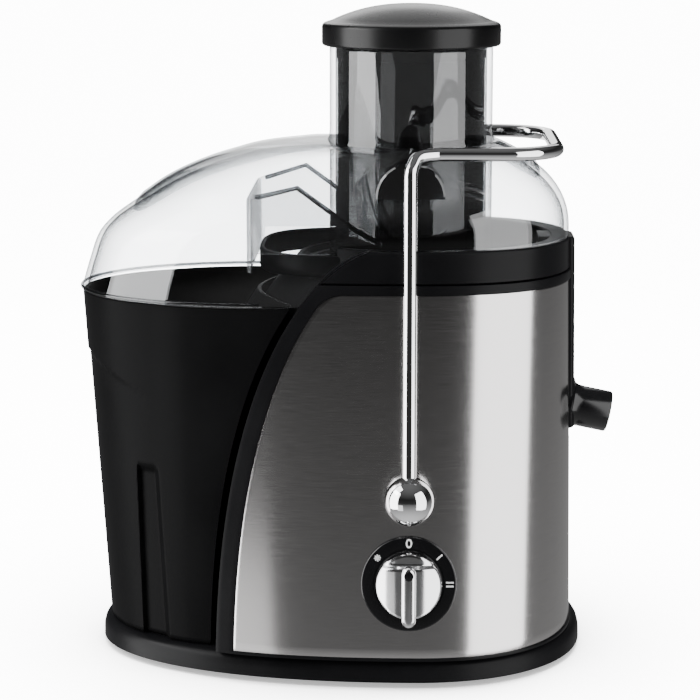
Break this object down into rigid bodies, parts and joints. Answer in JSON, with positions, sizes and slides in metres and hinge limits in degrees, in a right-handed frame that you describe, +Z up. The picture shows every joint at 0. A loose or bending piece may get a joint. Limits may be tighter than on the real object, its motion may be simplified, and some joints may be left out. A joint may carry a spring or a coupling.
{
  "type": "centrifugal juicer",
  "caption": "Upright centrifugal juicer with steel-wrapped motor base, side pulp container, clear lid with wide feed tube, pusher, juice spout and a wire locking bail.",
  "frame": {"origin": "middle of the bounding box in plan, on the table plane under the feet", "axes": "+Z up, -Y the front with the speed knob, +X towards the juice spout"},
  "size_m": [0.2784, 0.2158, 0.336],
  "materials": {
    "base_tray": "satin black",
    "base_cover": "matte black",
    "rubber_feet": "matte",
    "base_screws": "zinc plated",
    "cord_grommet": "matte",
    "motor_housing": "satin black",
    "steel_wrap": "brushed stainless steel",
    "dial_plate": "gloss black",
    "speed_knob": "satin chrome",
    "rotary_switch": "phenolic",
    "switch_spindle": "turned",
    "switch_nut": "nickel plated",
    "bail": "polished",
    "pivot_balls": "polished",
    "pivot_pins": "turned",
    "pivot_bushes": "acetal",
    "pivot_clips": "spring steel",
    "safety_cam": "acetal",
    "safety_switch": "moulded",
    "juice_collector": "satin black",
    "collector_bowl": "satin black",
    "collector_floor": "satin black",
    "juice_spout": "satin black",
    "lid": "clear moulded plastic",
    "feed_tube": "clear moulded plastic",
    "pusher": "satin black",
    "pusher_cap": "satin dark grey",
    "pulp_container": "satin black",
    "basket_rim": "satin",
    "filter_mesh": "etched stainless mesh",
    "grater_disc": "stamped stainless steel",
    "basket_hub": "satin",
    "drive_coupling": "glass filled nylon",
    "motor_shaft": "ground",
    "armature_core": "laminated steel",
    "armature_windings": "enamelled copper",
    "commutator": "copper segments",
    "cooling_fan": "moulded",
    "stator_core": "laminated steel",
    "field_windings": "enamelled copper",
    "upper_bracket": "die cast",
    "lower_bracket": "die cast",
    "upper_bearing": "ground",
    "lower_bearing": "ground",
    "brush_holders": "pressed",
    "carbon_brushes": "carbon",
    "brush_springs": "spring steel",
    "motor_grommets": "matte",
    "motor_screws": "zinc plated",
    "shaft_seal": "matte",
    "suppression_capacitor": "moulded"
  },
  "bodies": {
    "base": {"base_tray": "base_tray", "base_cover": "base_cover", "rubber_feet": "rubber_feet", "base_screws": "base_screws", "cord_grommet": "cord_grommet", "motor_housing": "motor_housing", "steel_wrap": "steel_wrap", "dial_plate": "dial_plate", "rotary_switch": "rotary_switch", "switch_nut": "switch_nut", "pivot_bushes": "pivot_bushes", "safety_switch": "safety_switch", "juice_collector": "juice_collector", "collector_bowl": "collector_bowl", "collector_floor": "collector_floor", "juice_spout": "juice_spout", "lid": "lid", "feed_tube": "feed_tube", "stator_core": "stator_core", "field_windings": "field_windings", "upper_bracket": "upper_bracket", "lower_bracket": "lower_bracket", "upper_bearing": "upper_bearing", "lower_bearing": "lower_bearing", "brush_holders": "brush_holders", "carbon_brushes": "carbon_brushes", "brush_springs": "brush_springs", "motor_grommets": "motor_grommets", "motor_screws": "motor_screws", "shaft_seal": "shaft_seal", "suppression_capacitor": "suppression_capacitor"},
    "bail": {"bail": "bail", "pivot_balls": "pivot_balls", "pivot_pins": "pivot_pins", "pivot_clips": "pivot_clips", "safety_cam": "safety_cam"},
    "knob": {"speed_knob": "speed_knob", "switch_spindle": "switch_spindle"},
    "rotor": {"motor_shaft": "motor_shaft", "armature_core": "armature_core", "armature_windings": "armature_windings", "commutator": "commutator", "cooling_fan": "cooling_fan", "drive_coupling": "drive_coupling", "basket_hub": "basket_hub", "grater_disc": "grater_disc", "filter_mesh": "filter_mesh", "basket_rim": "basket_rim"},
    "pusher": {"pusher": "pusher", "pusher_cap": "pusher_cap"},
    "container": {"pulp_container": "pulp_container"}
  },
  "joints": [
    {"name": "bail_pivot", "type": "hinge", "parent": "base", "child": "bail", "pos_m": [0.0322, 0, 0.098], "axis": [0, 1, 0], "range_deg": [0, 90]},
    {"name": "knob_turn", "type": "hinge", "parent": "base", "child": "knob", "pos_m": [0.0322, -0.0886, 0.054], "axis": [0, 0.9937, -0.1122], "range_deg": [-50, 90]},
    {"name": "rotor_spin", "type": "hinge", "parent": "base", "child": "rotor", "pos_m": [0.0322, 0, 0.03], "axis": [0, 0, 1], "continuous": true},
    {"name": "pusher_slide", "type": "slide", "parent": "base", "child": "pusher", "axis": [0, 0, 1], "range_m": [0, 0.15]},
    {"name": "container_slide", "type": "slide", "parent": "base", "child": "container", "axis": [-1, 0, 0], "range_m": [0, 0.12]}
  ]
}
